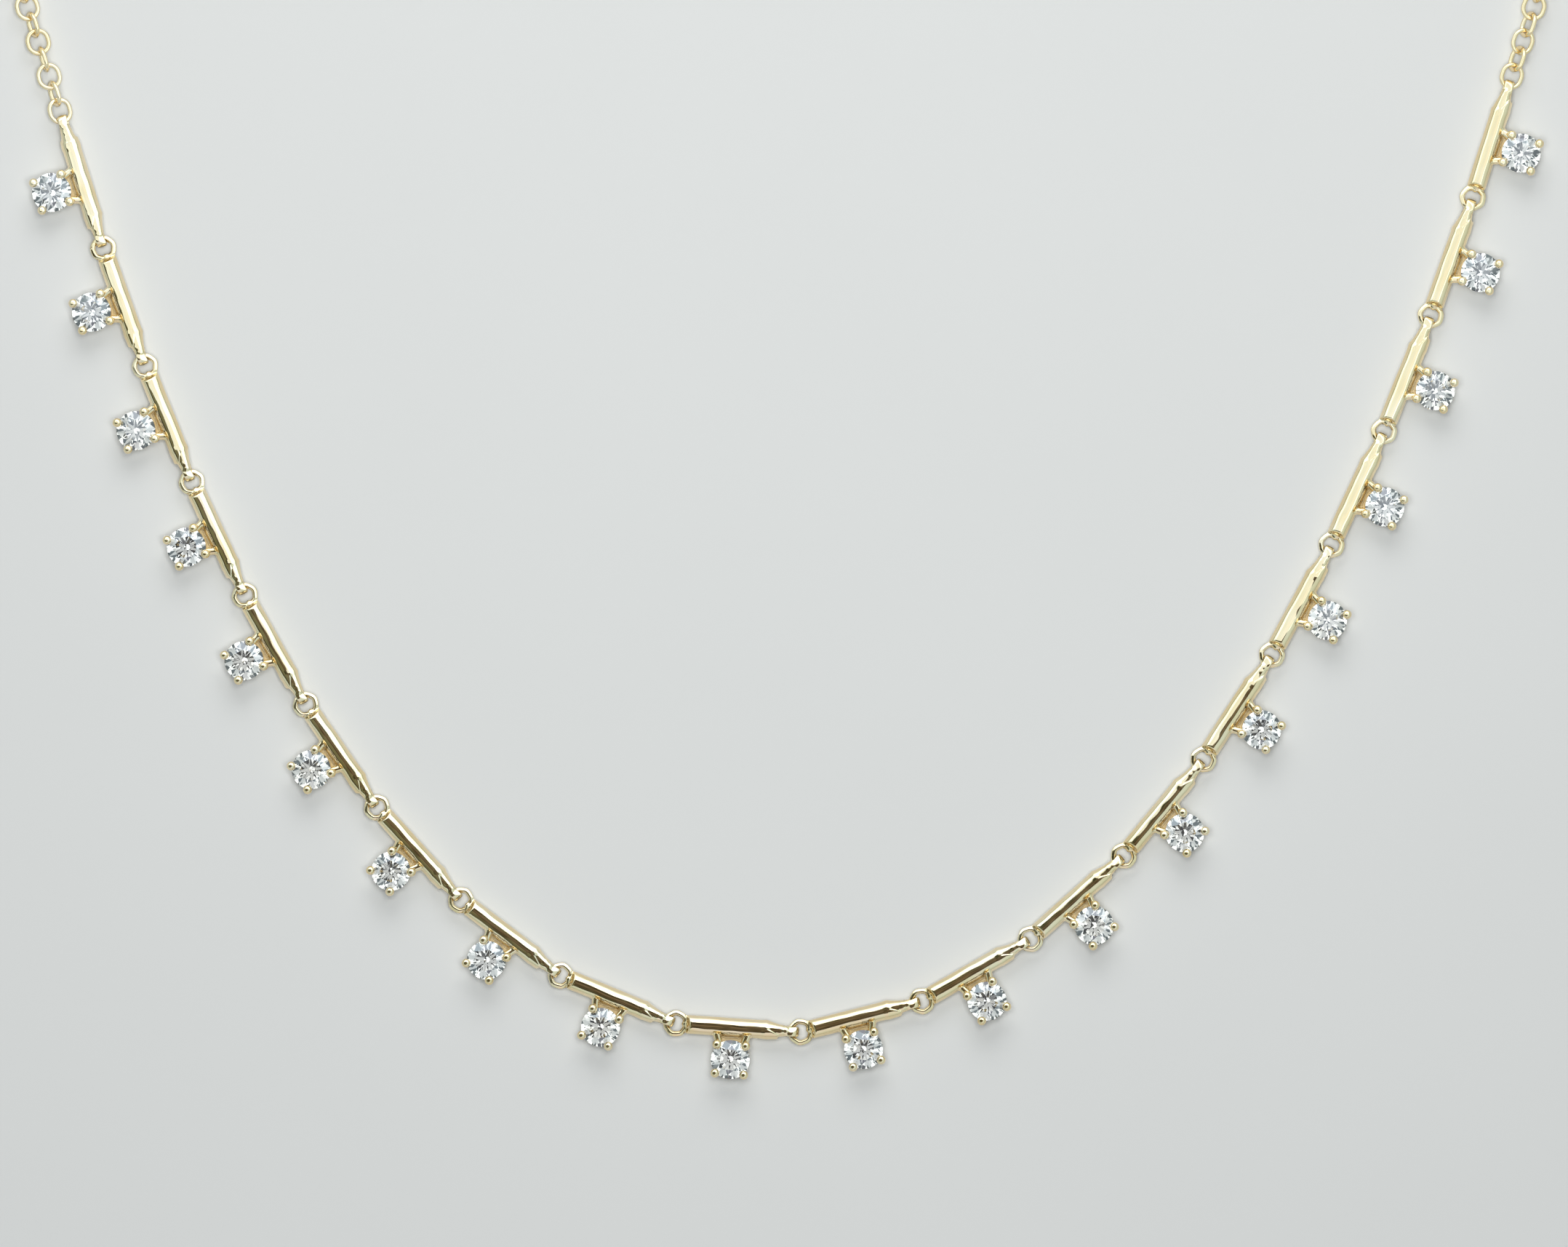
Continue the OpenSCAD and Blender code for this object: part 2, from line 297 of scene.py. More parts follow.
class StationSettings(bpy.types.PropertyGroup):
    """Sizes of one bar station."""

    bar_length: length_property("Bar length", "Length of a bar", 5.2 * MM)
    bar_width: length_property("Bar width", "Width of a bar", 1.06 * MM)
    bar_lean: length_property("Crest offset", "How far the bar's crest lies to its outer side", 0.02 * MM)
    ring_radius: length_property("Ring radius", "Middle radius of the ring on a bar's left end", 0.56 * MM)
    ring_wire: length_property("Ring wire", "Wire of that ring", 0.28 * MM)
    tongue_width: length_property("Tongue width", "Width of the tongue behind the hook", 0.66 * MM)
    prong_wire: length_property("Prong wire", "Wire of a prong", 0.3 * MM)
    bead_radius: length_property("Prong tip", "Radius of the bead on a prong's tip", 0.255 * MM)
    fillet: length_property("Solder fillet", "Size of the soldered fillets between the parts", 0.12 * MM)
    detail: length_property("Mesh step", "Spacing of the grid that the casting is meshed on", 0.045 * MM)


class StoneSettings(bpy.types.PropertyGroup):
    """Proportions of the round brilliants."""

    diameter: length_property("Diameter", "Diameter of a stone", 2.2 * MM)
    table: FloatProperty(
        name="Table", description="Table width as a share of the diameter", default=0.56, min=0.5, max=0.7
    )
    crown_angle: angle_property("Crown angle", "Slope of the crown's main facets", 34)
    pavilion_angle: angle_property("Pavilion angle", "Slope of the pavilion's main facets", 40.5)
    tint: colour_property("Tint", "Body colour of the stones", (0.97, 0.98, 1.0))
    seed: IntProperty(name="Seed", description="Seed for each stone's turn in its head", default=7, min=0)


class ChainSettings(bpy.types.PropertyGroup):
    """Sizes of the cable chain."""

    link_length: length_property("Link length", "Length of a link over its ends", 1.56 * MM)
    link_width: length_property("Link width", "Width of a link", 1.42 * MM)
    wire: length_property("Link wire", "Wire of a link", 0.25 * MM)
    face_roll: angle_property("Face roll", "How far the links that lie face on are rolled", 12)
    edge_roll: angle_property("Edge roll", "How far the links that stand on edge are rolled", -66)
    wander: angle_property("Wander", "How much the links' roll varies along the chain", 20)
    seed: IntProperty(name="Seed", description="Seed for the links' small differences", default=3, min=0)


class ClaspSettings(bpy.types.PropertyGroup):
    """Sizes of the ring clasp and the end ring."""

    clasp_wire: length_property("Clasp wire", "Wire of the clasp's ring", 0.6 * MM)
    eye_wire: length_property("Eye wire", "Wire of the clasp's soldered eye", 0.26 * MM)
    end_ring_wire: length_property("End ring wire", "Wire of the end ring", 0.36 * MM)
    detail: length_property("Mesh step", "Spacing of the grid that the clasp is meshed on", 0.06 * MM)


class FinishSettings(bpy.types.PropertyGroup):
    """Colours of the metal and the floor, and the lamps' power."""

    gold: colour_property("Gold", "Colour of the polished gold", (0.87, 0.7, 0.415))
    pale_gold: colour_property("Pale gold", "Colour of the gold where it is paler", (0.9, 0.765, 0.525))
    floor: colour_property("Floor", "Colour of the surface below", (0.757, 0.775, 0.771))
    room: FloatProperty(name="Room light", description="Strength of the soft room", default=1.0, min=0)
    key: power_property("Key light", "Power of the light beyond the clasp", 0.25)
    fill: power_property("Fill light", "Power of the light overhead", 1.12)
    sheet: power_property("Light sheet", "Power of the low sheet that only the metal mirrors", 0.066)


class NecklaceSettings(bpy.types.PropertyGroup):
    """All that can be set on the necklace."""

    station: PointerProperty(type=StationSettings)
    stone: PointerProperty(type=StoneSettings)
    chain: PointerProperty(type=ChainSettings)
    clasp: PointerProperty(type=ClaspSettings)
    finish: PointerProperty(type=FinishSettings)


def along(angle):
    """Unit vector in the plan at an angle from +X."""
    return Vector((math.cos(angle), math.sin(angle), 0))


def heading(i):
    """Direction of station i's bar. Its slope grows evenly with its place from the lowest station."""
    radius = BOTTOM_RADIUS[LEFT] if i < LOWEST_STATION else BOTTOM_RADIUS[RIGHT]
    return math.atan((i - LOWEST_STATION) * STATION_PITCH / radius)


def numbered(kind, i):
    """The frame's name of station or stone i."""
    return f"{kind}_{i:02d}"


def station_place(i):
    """Turns station i's own frame into the necklace's. The head lies where the frame has the stone."""
    low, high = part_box(numbered("stone", i))
    centre = (low + high) / 2
    turn = Matrix.Rotation(heading(i), 4, "Z")
    reach = turn @ Vector((HEAD_X, -HEAD_OFFSET, 0))
    return Matrix.Translation((centre.x - reach.x, centre.y - reach.y, 0)) @ turn


class ChainRun:
    """The middle line of both chains: straight from the last station, then one arc up to the clasp."""

    def __init__(self):
        first, last = station_place(1).translation, station_place(STATION_COUNT).translation
        left_reach = HOOK_R - END_LOOP_X - LINK_SEAT / 2
        right_reach = HOOK_X + HOOK_R - LINK_SEAT / 2
        self.starts = (
            first - left_reach * along(heading(1)),
            last + right_reach * along(heading(STATION_COUNT)),
        )
        self.angles = (math.pi + heading(1), heading(STATION_COUNT))
        self.turns = (math.pi + heading(1), math.pi - heading(STATION_COUNT))
        self.length = LINK_COUNT * LINK_PITCH
        # The arcs' radii follow from this: both chains end level, and face each other across the clasp
        across = [math.sin(t) - t * math.cos(t) for t in self.turns]
        up = [1 - math.cos(t) - t * math.sin(t) for t in self.turns]
        gap = self.starts[RIGHT] - self.starts[LEFT]
        cosines = math.cos(self.turns[LEFT]) + math.cos(self.turns[RIGHT])
        sines = math.sin(self.turns[RIGHT]) - math.sin(self.turns[LEFT])
        gap_across = gap.x - self.length * cosines - CLASP_SPAN
        gap_up = gap.y + self.length * sines
        both = across[LEFT] * up[RIGHT] + across[RIGHT] * up[LEFT]
        self.radii = (
            (gap_across * up[RIGHT] + across[RIGHT] * gap_up) / both,
            (gap_across * up[LEFT] - across[LEFT] * gap_up) / both,
        )
        self.straights = [self.length - self.radii[s] * self.turns[s] for s in (LEFT, RIGHT)]

    def point(self, side, distance):
        """Point on a side's chain at a distance from where it leaves the stations."""
        straight = min(distance, self.straights[side])
        point = self.starts[side] + straight * along(self.angles[side])
        if distance > straight:
            spin = (-1, 1)[side]
            turned = spin * (distance - straight) / self.radii[side]
            centre = point + self.radii[side] * along(self.angles[side] + spin * math.pi / 2)
            point = centre + self.radii[side] * along(self.angles[side] + turned - spin * math.pi / 2)
        return Vector((point.x, point.y, AXIS_Z))


def size(v):
    """Lengths of an array of vectors."""
    return np.sqrt((v * v).sum(-1))


def rod(p, start, end, radius, end_radius=None):
    """Distance to a round-ended wire, which may taper."""
    start, end = np.array(start), np.array(end)
    axis = end - start
    t = np.clip((p - start) @ axis / (axis @ axis), 0, 1)
    r = radius if end_radius is None else radius + (end_radius - radius) * t
    return size(p - start - t[..., None] * axis) - r


def ball(p, centre, radius):
    """Distance to a ball."""
    return size(p - np.array(centre)) - radius


def block(p, low, high, rounding):
    """Distance to a box with rounded edges."""
    low, high = np.array(low), np.array(high)
    q = np.abs(p - (low + high) / 2) - (high - low) / 2 + rounding
    return size(np.maximum(q, 0)) + np.minimum(q.max(-1), 0) - rounding


def hoop(p, centre, radius, wire):
    """Distance to a flat ring of round wire."""
    q = p - np.array(centre)
    return np.hypot(np.hypot(q[..., 0], q[..., 1]) - radius, q[..., 2]) - wire / 2


def canted_hoop(p, centre, radius, wire):
    """Distance to a flat ring whose faces fall outward, with the soft corners of hammered wire."""
    q = p - np.array(centre)
    turned = np.arctan2(q[..., 1], q[..., 0])
    wavy = 1 + RING_CORNER_RISE * np.cos(RING_CORNERS * turned + 1)
    out = np.hypot(q[..., 0], q[..., 1] / RING_OVAL) - radius * wavy
    high = np.abs(q[..., 2])
    across = math.cos(RING_CANT) * out - math.sin(RING_CANT) * high
    rise = math.sin(RING_CANT) * out + math.cos(RING_CANT) * high
    half = RING_HALF * wire
    return block(np.stack([across, rise], -1), (-half, -half), (half, half), RING_ROUNDING * wire)


def oval_band(p, centre, radius, wall, width, upright=False):
    """Distance to a ring of domed strap, flat or standing across Y."""
    q = p - np.array(centre)
    side, rise = (q[..., 2], q[..., 1]) if upright else (q[..., 1], q[..., 2])
    across = (np.hypot(q[..., 0], side) - radius) / (wall / 2)
    section = np.maximum(np.abs(across), 1e-9) ** STRAP_DOME + np.abs(rise / (width / 2)) ** STRAP_DOME
    return (section ** (1 / STRAP_DOME) - 1) * wall / 2


def joined(a, b, fillet):
    """Union of two shapes with a fillet between them."""
    blend = np.maximum(fillet - np.abs(a - b), 0)
    return np.minimum(a, b) - blend * blend / (4 * max(fillet, 1e-9))


def common(a, b, softness):
    """Where two shapes overlap, with softened edges."""
    return -joined(-a, -b, softness)


def half_round(p, low_x, high_x, radius, lean):
    """Distance to a half-round bar: flat underneath and bevelled at the near end. The far end is cut
    back, all but a foot along its outer side."""
    x, y, z = p[..., 0], p[..., 1], p[..., 2] - AXIS_Z
    rise = np.clip(z / radius, 0, 1)
    section = np.hypot(y + lean * rise, z) - radius
    section = common(section, -z - BAR_DROP, BAR_EDGE)
    near = (low_x - x + NEAR_SLOPE * np.maximum(z - NEAR_STEP, 0)) / math.hypot(1, NEAR_SLOPE)
    back = np.clip(FOOT_SLOPE * (y + FOOT_WIDTH), 0, NOSE_LENGTH)
    far = (x - high_x + back) / NOSE_FALL
    return common(common(section, near, NEAR_EDGE), far, NOSE_EDGE)


def stone_room(p, stone):
    """Distance to the stone's own profile, which the head is cut out for."""
    radius = stone.diameter / 2
    r, z = np.hypot(p[..., 0], p[..., 1]), p[..., 2]
    culet_z = GIRDLE_Z - radius * math.tan(stone.pavilion_angle)
    crown_z = GIRDLE_Z + GIRDLE_HEIGHT + (radius - r) * math.tan(stone.crown_angle)
    pavilion = (culet_z + r * math.tan(stone.pavilion_angle) - z) * math.cos(stone.pavilion_angle)
    crown = (z - crown_z) * math.cos(stone.crown_angle)
    return np.maximum(np.maximum(pavilion, crown), r - radius)


def head(p, sizes, stone):
    """Distance to a four-prong head with its posts and plate."""
    shape = hoop(p, (0, 0, RAIL_Z), RAIL_R, RAIL_WIRE)
    for k in range(4):
        a = math.pi / 4 + k * math.pi / 2
        out = np.array((math.cos(a), math.sin(a), 0))
        foot = out * PRONG_FOOT_R + (0, 0, PRONG_FOOT_Z)
        tip = out * PRONG_TIP_R + (0, 0, PRONG_TIP_Z)
        prong = rod(p, foot, tip, sizes.prong_wire / 2)
        prong = joined(prong, ball(p, tip, sizes.bead_radius), BEAD_FILLET)
        shape = joined(shape, prong, SMALL_FILLET)
    shape = common(shape, SEAT_GAP - stone_room(p, stone), SEAT_EDGE)
    base = oval_band(p, (0, 0, BASE_HEIGHT / 2), PRONG_FOOT_R, BASE_WALL, BASE_HEIGHT)
    shape = common(joined(shape, base, BASE_FILLET), -p[..., 2], BASE_EDGE)
    for s in (-1, 1):
        post = rod(p, (s * POST_X, POST_Y, POST_Z), (s * POST_FOOT, POST_FOOT, POST_Z), POST_WIRE / 2)
        shape = joined(shape, post, SMALL_FILLET)
    plate = block(p, PLATE_LOW, PLATE_HIGH, PLATE_FILLET)
    top = p[..., 2] - PLATE_HIGH[2] + PLATE_FALL * (PLATE_HIGH[1] - p[..., 1])
    plate = common(plate, top / math.hypot(1, PLATE_FALL), PLATE_EDGE)
    return joined(shape, plate, PLATE_FILLET)


def hook(p, sizes, x, way):
    """Distance to a tongue drawn out of the bar, one way along X, and the upright loop at its end."""
    loop = oval_band(p, (x, 0, AXIS_Z), HOOK_R, HOOK_WALL, HOOK_WIDTH, upright=True)
    bevel = (p[..., 2] - HOOK_BEVEL_Z + HOOK_BEVEL * p[..., 1]) / math.hypot(1, HOOK_BEVEL)
    loop = common(loop, bevel, TONGUE_EDGE)
    near = x - way * (HOOK_R - TONGUE_SINK)
    start = (near - way * TAPER_LENGTH, 0, AXIS_Z)
    middle = (near - way * TAPER_LENGTH / 4, 0, TONGUE_START_Z)
    end = (near, 0, TONGUE_END_Z)
    taper = rod(p, start, middle, sizes.bar_width / 2, sizes.tongue_width / 2)
    tongue = joined(taper, rod(p, middle, end, sizes.tongue_width / 2, HOOK_WIDTH / 2), SMALL_FILLET)
    tongue = common(tongue, AXIS_Z - BAR_DROP - p[..., 2], TONGUE_EDGE)
    return joined(loop, tongue, FILLET)


def casting(p, sizes, stone, end_loop):
    """Distance to a whole station: bar, hook, head, and a ring or an end loop on its left end."""
    bar_end = BAR_START + sizes.bar_length
    shape = half_round(p, BAR_START, bar_end, sizes.bar_width / 2, sizes.bar_lean)
    shape = joined(shape, hook(p, sizes, HOOK_X, 1), sizes.fillet)
    if end_loop:
        shape = joined(shape, hook(p, sizes, END_LOOP_X, -1), sizes.fillet)
    else:
        near, far = ((x, 0, AXIS_Z) for x in NECK_X)
        ring = canted_hoop(p, (0, 0, AXIS_Z), sizes.ring_radius, sizes.ring_wire)
        ring = joined(ring, rod(p, near, far, *NECK_RADII), FILLET)
        shape = joined(shape, ring, sizes.fillet)
    return joined(shape, head(p - np.array((HEAD_X, -HEAD_OFFSET, 0)), sizes, stone), FILLET)


def clasp_shape(p, sizes):
    """Distance to the clasp's ring and its soldered eye, in its own frame."""
    ring = hoop(p, (CLASP_X, 0, 0), CLASP_R, sizes.clasp_wire)
    eye = hoop(p, (EYE_X, 0, 0), EYE_R, sizes.eye_wire)
    return joined(ring, eye, EYE_FILLET)


def uphill(shape, points, reach):
    """The shape's gradient at some points."""
    steps = np.eye(3) * reach
    return np.stack([(shape(points + s) - shape(points - s)) / (2 * reach) for s in steps], -1)


def drawn_in(shape, points, reach, rounds):
    """Moves points onto the shape's surface, by a few times the reach in each round."""
    for _ in range(rounds):
        slope = uphill(shape, points, reach)
        steep = np.maximum((slope * slope).sum(-1), FLATTEST_SLOPE)
        move = (shape(points) / steep)[:, None] * slope
        far = np.maximum(size(move), 1e-12)
        points = points - move * np.minimum(1, reach * LONGEST_MOVE / far)[:, None]
    return points


def settled(inside):
    """Fills grid corners until no square of four has only its diagonal inside, where two sheets of the
    skin would touch."""
    for _ in range(SETTLE_ROUNDS):
        for axis in range(3):
            flat = np.moveaxis(inside, axis, 0)
            corners = [flat[:, :-1, :-1], flat[:, 1:, :-1], flat[:, :-1, 1:], flat[:, 1:, 1:]]
            a, b, c, d = corners
            crossed = (a == d) & (b == c) & (a != b)
            for corner in corners:
                corner |= crossed
    return inside


def skin(name, shape, low, high, step, keep):
    """A closed mesh over the surface where shape is zero: one corner for each grid cell that it
    crosses, drawn onto it. keep is the share of the triangles that is kept."""
    axes = [np.arange(a - 2 * step, b + 3 * step, step) for a, b in zip(low, high)]
    grid = np.stack(np.meshgrid(*axes, indexing="ij"), -1)
    inside = settled(shape(grid) < 0)
    cells = [slice(None, -1), slice(1, None)]
    count = sum(inside[i, j, k].astype(np.int8) for i in cells for j in cells for k in cells)
    crossed = (count > 0) & (count < 8)
    number = np.full(crossed.shape, -1)
    number[crossed] = np.arange(crossed.sum())
    points = grid[:-1, :-1, :-1][crossed] + step / 2
    reach = step / PROBES_PER_STEP
    points = drawn_in(shape, points, reach, DRAW_ROUNDS)
    quads = []
    for axis in range(3):
        order = [axis, (axis + 1) % 3, (axis + 2) % 3]
        now = np.transpose(inside, order)
        ids = np.transpose(number, order)
        enter = now[:-1, 1:-1, 1:-1] != now[1:, 1:-1, 1:-1]
        out = now[:-1, 1:-1, 1:-1][enter]
        before, after = cells
        round_edge = ((before, before), (after, before), (after, after), (before, after))
        quad = np.stack([ids[:, j, k][enter] for j, k in round_edge], 1)
        quads.append(np.where(out[:, None], quad, quad[:, ::-1]))
    mesh = bpy.data.meshes.new(name)
    mesh.from_pydata(points.tolist(), [], np.concatenate(quads).tolist())
    mesh = thinned(mesh, keep)
    points = np.zeros(len(mesh.vertices) * 3)
    mesh.vertices.foreach_get("co", points)
    points = drawn_in(shape, points.reshape(-1, 3), reach, REDRAW_ROUNDS)
    mesh.vertices.foreach_set("co", points.ravel())
    finish_skin(mesh, shape, points, reach)
    return mesh


def thinned(mesh, keep):
    """The mesh with only a share of its triangles."""
    piece = new_piece("thinning", mesh)
    piece.modifiers.new("Thin", "DECIMATE").ratio = keep
    graph = bpy.context.evaluated_depsgraph_get()
    thin = bpy.data.meshes.new_from_object(piece.evaluated_get(graph))
    bpy.data.objects.remove(piece)
    bpy.data.meshes.remove(mesh)
    return thin


def finish_skin(mesh, shape, points, reach):
    """Gives a skin its true normals, and how deep each corner lies in a recess as an attribute."""
    normals = uphill(shape, points, reach)
    normals /= np.maximum(size(normals), 1e-9)[:, None]
    room = [
        np.clip(shape(points + normals * RECESS_REACH * t) / (RECESS_REACH * t), 0, 1) for t in RECESS_STEPS
    ]
    open_share = sum(room) / len(RECESS_STEPS)
    recess = mesh.attributes.new("recess", "FLOAT", "POINT")
    recess.data.foreach_set("value", (1 - open_share).astype(np.float32))
    for polygon in mesh.polygons:
        polygon.use_smooth = True
    mesh.normals_split_custom_set_from_vertices(normals.tolist())


def new_piece(name, data, *materials):
    """A new object in the scene, in place of an earlier one of its name."""
    old = bpy.data.objects.get(name)
    if old is not None:
        bpy.data.objects.remove(old)
    piece = bpy.data.objects.new(name, data)
    bpy.context.scene.collection.objects.link(piece)
    for material in materials:
        data.materials.append(material)
    return piece


def hand_over(piece, slot, *nodes):
    """The piece rides on the necklace's body, in place of the frame's nodes."""
    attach(piece, BODY)
    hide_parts(*nodes)


class Nodes:
    """Short ways to place and join the nodes of one tree."""

    def __init__(self, tree):
        self.tree = tree
        tree.nodes.clear()

    def add(self, kind, inputs=None, **settings):
        """A new node with its settings and inputs."""
        node = self.tree.nodes.new(kind)
        for key, value in settings.items():
            setattr(node, key, value)
        for key, value in (inputs or {}).items():
            self.feed(value, node.inputs[key])
        return node

    def feed(self, value, socket):
        """Links a socket to another one or to a node's first output, or sets its value."""
        if isinstance(value, bpy.types.NodeSocket):
            self.tree.links.new(value, socket)
        elif isinstance(value, bpy.types.Node):
            self.tree.links.new(value.outputs[0], socket)
        else:
            socket.default_value = value

    def place(self):
        """Where a point lies in its piece's own frame."""
        return self.add("ShaderNodeTexCoord").outputs["Object"]

    def math(self, operation, a, b=0.0, clamp=False):
        """What an operation makes of one or two numbers."""
        return self.add("ShaderNodeMath", {0: a, 1: b}, operation=operation, use_clamp=clamp).outputs[0]

    def plus(self, a, b):
        """The sum of two numbers."""
        return self.math("ADD", a, b)

    def minus(self, a, b):
        """The difference of two numbers."""
        return self.math("SUBTRACT", a, b)

    def times(self, a, b):
        """The product of two numbers."""
        return self.math("MULTIPLY", a, b)

    def vector_math(self, operation, a, b):
        """What an operation makes of two vectors."""
        node = self.add("ShaderNodeVectorMath", {0: a, 1: b}, operation=operation)
        return node.outputs["Value" if operation == "DOT_PRODUCT" else "Vector"]

    def ramp(self, value, low, high, to_low=0.0, to_high=1.0):
        """A smooth step from to_low to to_high as the value goes from low to high."""
        node = self.add(
            "ShaderNodeMapRange", {0: value, 1: low, 2: high, 3: to_low, 4: to_high},
            interpolation_type="SMOOTHSTEP",
        )
        return node.outputs[0]

    def blend(self, share, a, b, mode="MIX"):
        """Mixes colour b into colour a."""
        node = self.add("ShaderNodeMix", data_type="RGBA", blend_type=mode)
        self.feed(share, node.inputs[0])
        self.feed(a, node.inputs[6])
        self.feed(b, node.inputs[7])
        return node.outputs[2]

    def tinted(self, colour, tint):
        """A colour seen through a tint."""
        return self.blend(1.0, colour, tint, "MULTIPLY")

    def noise(self, vector, scale, detail=2.0, roughness=0.5):
        """Soft noise between nought and one."""
        inputs = {"Vector": vector, "Scale": scale, "Detail": detail, "Roughness": roughness}
        return self.add("ShaderNodeTexNoise", inputs).outputs["Fac"]


def interface(tree, inputs, outputs):
    """Gives a node group its named sockets: name, type, default value."""
    for name, kind, default in inputs:
        socket = tree.interface.new_socket(name, in_out="INPUT", socket_type=kind)
        if default is not None:
            socket.default_value = default
    for name, kind in outputs:
        tree.interface.new_socket(name, in_out="OUTPUT", socket_type=kind)


def rgba(colour):
    """An opaque colour with its fourth number."""
    return (*colour, 1.0)


def new_material(name):
    """A new material and its empty node tree."""
    material = bpy.data.materials.new(name)
    material.use_nodes = True
    return material, Nodes(material.node_tree)


def polish_and_shade_group():
    """Hand-polished gold as a shader group: tone, gloss and the faint waves and lines of the polish, and
    painted shade that darkens the colour in recesses.
    """
    name = "Hand polish and painted shade"
    if name in bpy.data.node_groups:
        return bpy.data.node_groups[name]
    tree = bpy.data.node_groups.new(name, "ShaderNodeTree")
    n = Nodes(tree)
    colour, value = "NodeSocketColor", "NodeSocketFloat"
    interface(
        tree,
        [("Gold", colour, None), ("Pale gold", colour, None), ("Gloss", value, 0.1), ("Lines", value, 0.5),
         ("Waves", value, 0.5), ("Recess", value, 0.0)],
        [("Color", colour), ("Roughness", value), ("Metallic", value), ("Height", value)],
    )
    given = n.add("NodeGroupInput").outputs
    place = n.place()
    depth = given["Recess"]
    tone = n.noise(place, TONE_SCALE)
    fine = n.noise(place, FINE_SCALE, detail=3.0, roughness=0.6)
    shade = n.blend(n.ramp(tone, *TONE_RANGE), given["Gold"], given["Pale gold"])
    # Painted shade: darker, warmer gold where a corner lies deep in a recess
    deep = n.ramp(depth, *RECESS_SHADE)
    shade = n.blend(deep, shade, n.tinted(shade, PAINTED_RECESS_SHADE))
    line = n.noise(n.vector_math("MULTIPLY", place, LINE_STRETCH), 1.0, roughness=0.65)
    scratch = n.ramp(n.math("ABSOLUTE", n.minus(line, 0.5)), 0.0, LINE_WIDTH, 1.0, 0.0)
    scratch = n.times(scratch, n.ramp(tone, *LINE_PATCHES))
    scratch = n.times(scratch, given["Lines"])
    grain = n.times(n.minus(fine, 0.5), FINE_ROUGHNESS)
    rough = n.plus(given["Gloss"], grain)
    rough = n.plus(rough, n.times(scratch, LINE_ROUGHNESS))
    rough = n.math("ADD", rough, deep, clamp=True)
    wave = n.times(n.noise(place, WAVE_SCALE, detail=1.0), given["Waves"])
    wave = n.times(wave, n.ramp(depth, *WAVES_IN_RECESS))
    height = n.minus(wave, n.times(scratch, LINE_DEPTH))
    n.add("NodeGroupOutput", {
        "Color": shade, "Roughness": rough, "Metallic": n.ramp(depth, *RECESS_METALLIC), "Height": height,
    })
    return tree


def gold_material(name, finish, gloss, lines, waves):
    """Polished gold, with the finish of one kind of piece."""
    material, n = new_material(name)
    # How deep each corner lies in a recess, which sets where shade is painted into the gold
    recess = n.add("ShaderNodeAttribute", attribute_name="recess").outputs["Fac"]
    inputs = {
        "Gold": rgba(finish.gold), "Pale gold": rgba(finish.pale_gold), "Gloss": gloss, "Lines": lines,
        "Waves": waves, "Recess": recess,
    }
    polish = n.add("ShaderNodeGroup", inputs, node_tree=polish_and_shade_group()).outputs
    bump = {"Height": polish["Height"], "Strength": BUMP_STRENGTH, "Distance": BUMP_DISTANCE}
    metal = n.add("ShaderNodeBsdfPrincipled", {
        "Base Color": polish["Color"], "Roughness": polish["Roughness"], "Metallic": polish["Metallic"],
        "Normal": n.add("ShaderNodeBump", bump),
    })
    n.add("ShaderNodeOutputMaterial", {"Surface": metal})
    return material


def stone_material(stone):
    """A colourless, brightly polished stone with a slightly different tint from stone to stone."""
    material, n = new_material("cut_stone")
    place = n.place()
    warm = n.ramp(n.noise(place, WARM_SCALE, detail=1.0), *WARM_RANGE)
    tint = n.blend(warm, rgba(stone.tint), WARM_STONE)
    film = n.ramp(n.noise(place, FILM_SCALE, detail=3.0, roughness=0.6), *FILM_RANGE)
    glass = n.add("ShaderNodeBsdfPrincipled", {
        "Base Color": tint, "Roughness": film, "IOR": STONE_IOR, "Transmission Weight": 1.0,
    })
    n.add("ShaderNodeOutputMaterial", {"Surface": glass})
    return material


def facet_planes(stone):
    """The stone's facets as planes: a point on each and its outward direction."""
    radius = stone.diameter / 2
    table_r, star_r, lower_r = stone.table * radius, STAR_SHARE * radius, LOWER_SHARE * radius
    crown, pavilion = math.tan(stone.crown_angle), math.tan(stone.pavilion_angle)
    top, half, eighth = GIRDLE_Z + GIRDLE_HEIGHT, math.pi / 8, math.pi / 4
    table_z = top + (radius - table_r) * crown
    star_z = table_z - (star_r * math.cos(half) - table_r) * crown
    lower_z = GIRDLE_Z - (radius - lower_r * math.cos(half)) * pavilion
    culet = Vector((0, 0, GIRDLE_Z - radius * pavilion))

    def spot(r, angle, z):
        return r * along(angle) + Vector((0, 0, z))

    def plane(a, b, c):
        normal = (b - a).cross(c - a).normalized()
        return a, normal if normal.dot(a - Vector((0, 0, GIRDLE_Z))) > 0 else -normal

    planes = [(Vector((0, 0, table_z)), Vector((0, 0, 1)))]
    for k in range(8):
        a = k * eighth
        tip, middle, next_tip = (spot(radius, a + turn, top) for turn in (0, half, eighth))
        foot, low_middle, next_foot = (spot(radius, a + turn, GIRDLE_Z) for turn in (0, half, eighth))
        table, next_table = (spot(table_r, a + turn, table_z) for turn in (0, eighth))
        previous, kite = (spot(star_r, a + turn, star_z) for turn in (-half, half))
        lower = spot(lower_r, a + half, lower_z)
        planes += [
            plane(table, next_table, kite), plane(tip, kite, previous),
            plane(tip, middle, kite), plane(middle, next_tip, kite),
            plane(foot, low_middle, lower), plane(low_middle, next_foot, lower),
            plane(foot, culet, lower),
        ]
    return planes


